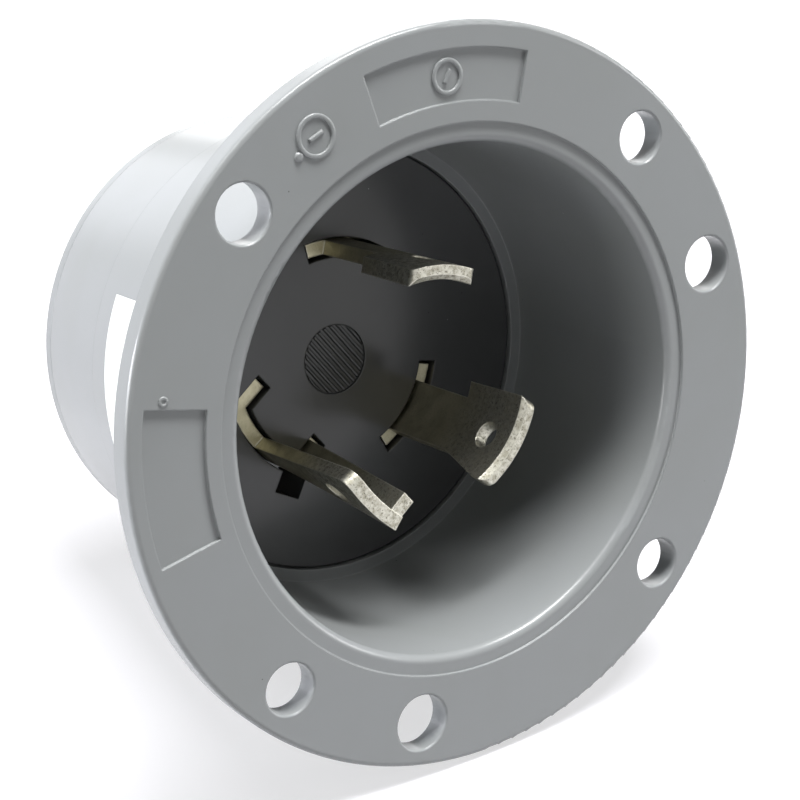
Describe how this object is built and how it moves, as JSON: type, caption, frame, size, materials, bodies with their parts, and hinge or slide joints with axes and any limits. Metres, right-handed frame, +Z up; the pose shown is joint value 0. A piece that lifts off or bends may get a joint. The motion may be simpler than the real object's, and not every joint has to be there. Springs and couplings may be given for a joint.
{
  "type": "flanged twist-lock power inlet",
  "caption": "Round flanged power inlet: a deep moulded cup with curved locking blades, screw-clamp terminals in the rear body and a screwed rear cover.",
  "frame": {"origin": "centre of the flange's rear mounting face, on the axis of the cup", "axes": "+Y along the axis from the mouth to the rear cover, +Z up through the middle of the upper flange panel, +X to the right seen from the mouth"},
  "size_m": [0.0762, 0.047, 0.0762],
  "materials": {
    "grey_nylon": "moulded, semi-gloss",
    "carrier_nylon": "moulded, semi-gloss",
    "plated_brass": "nickel plated, dull",
    "bare_brass": "bright",
    "green_screw": "green dyed",
    "steel_screw": "zinc plated",
    "clamp_steel": "zinc plated"
  },
  "bodies": {
    "root": {"front_housing": "grey_nylon", "rear_body": "grey_nylon", "rear_cover": "grey_nylon", "blade_carrier": "carrier_nylon", "line_blade_right": "plated_brass", "line_blade_top": "plated_brass", "ground_blade": "plated_brass", "cover_screw_1": "steel_screw", "cover_screw_2": "steel_screw", "cover_screw_3": "steel_screw"},
    "clamp_right": {"clamp_plate_right": "clamp_steel"},
    "screw_right": {"terminal_screw_right": "bare_brass"},
    "clamp_top": {"clamp_plate_top": "clamp_steel"},
    "screw_top": {"terminal_screw_top": "bare_brass"},
    "clamp_ground": {"clamp_plate_ground": "clamp_steel"},
    "screw_ground": {"terminal_screw_ground": "green_screw"}
  },
  "joints": [
    {"name": "clamp_right_travel", "type": "slide", "parent": "root", "child": "clamp_right", "axis": [0, 1, 0], "range_m": [0, 0.00317]},
    {"name": "screw_right_turn", "type": "hinge", "parent": "clamp_right", "child": "screw_right", "pos_m": [0.01318, 0.032, -0.01106], "axis": [0, 1, 0], "range_deg": [0, 1440]},
    {"name": "clamp_top_travel", "type": "slide", "parent": "root", "child": "clamp_top", "axis": [0, 1, 0], "range_m": [0, 0.00317]},
    {"name": "screw_top_turn", "type": "hinge", "parent": "clamp_top", "child": "screw_top", "pos_m": [0.00474, 0.032, 0.01653], "axis": [0, 1, 0], "range_deg": [0, 1440]},
    {"name": "clamp_ground_travel", "type": "slide", "parent": "root", "child": "clamp_ground", "axis": [0, 1, 0], "range_m": [0, 0.00317]},
    {"name": "screw_ground_turn", "type": "hinge", "parent": "clamp_ground", "child": "screw_ground", "pos_m": [-0.01366, 0.032, -0.01045], "axis": [0, 1, 0], "range_deg": [0, 1440]}
  ],
  "couplings": [
    {"joint": "screw_right_turn", "follows": "clamp_right_travel", "rad_per_m": 7915.8},
    {"joint": "screw_top_turn", "follows": "clamp_top_travel", "rad_per_m": 7915.8},
    {"joint": "screw_ground_turn", "follows": "clamp_ground_travel", "rad_per_m": 7915.8}
  ]
}
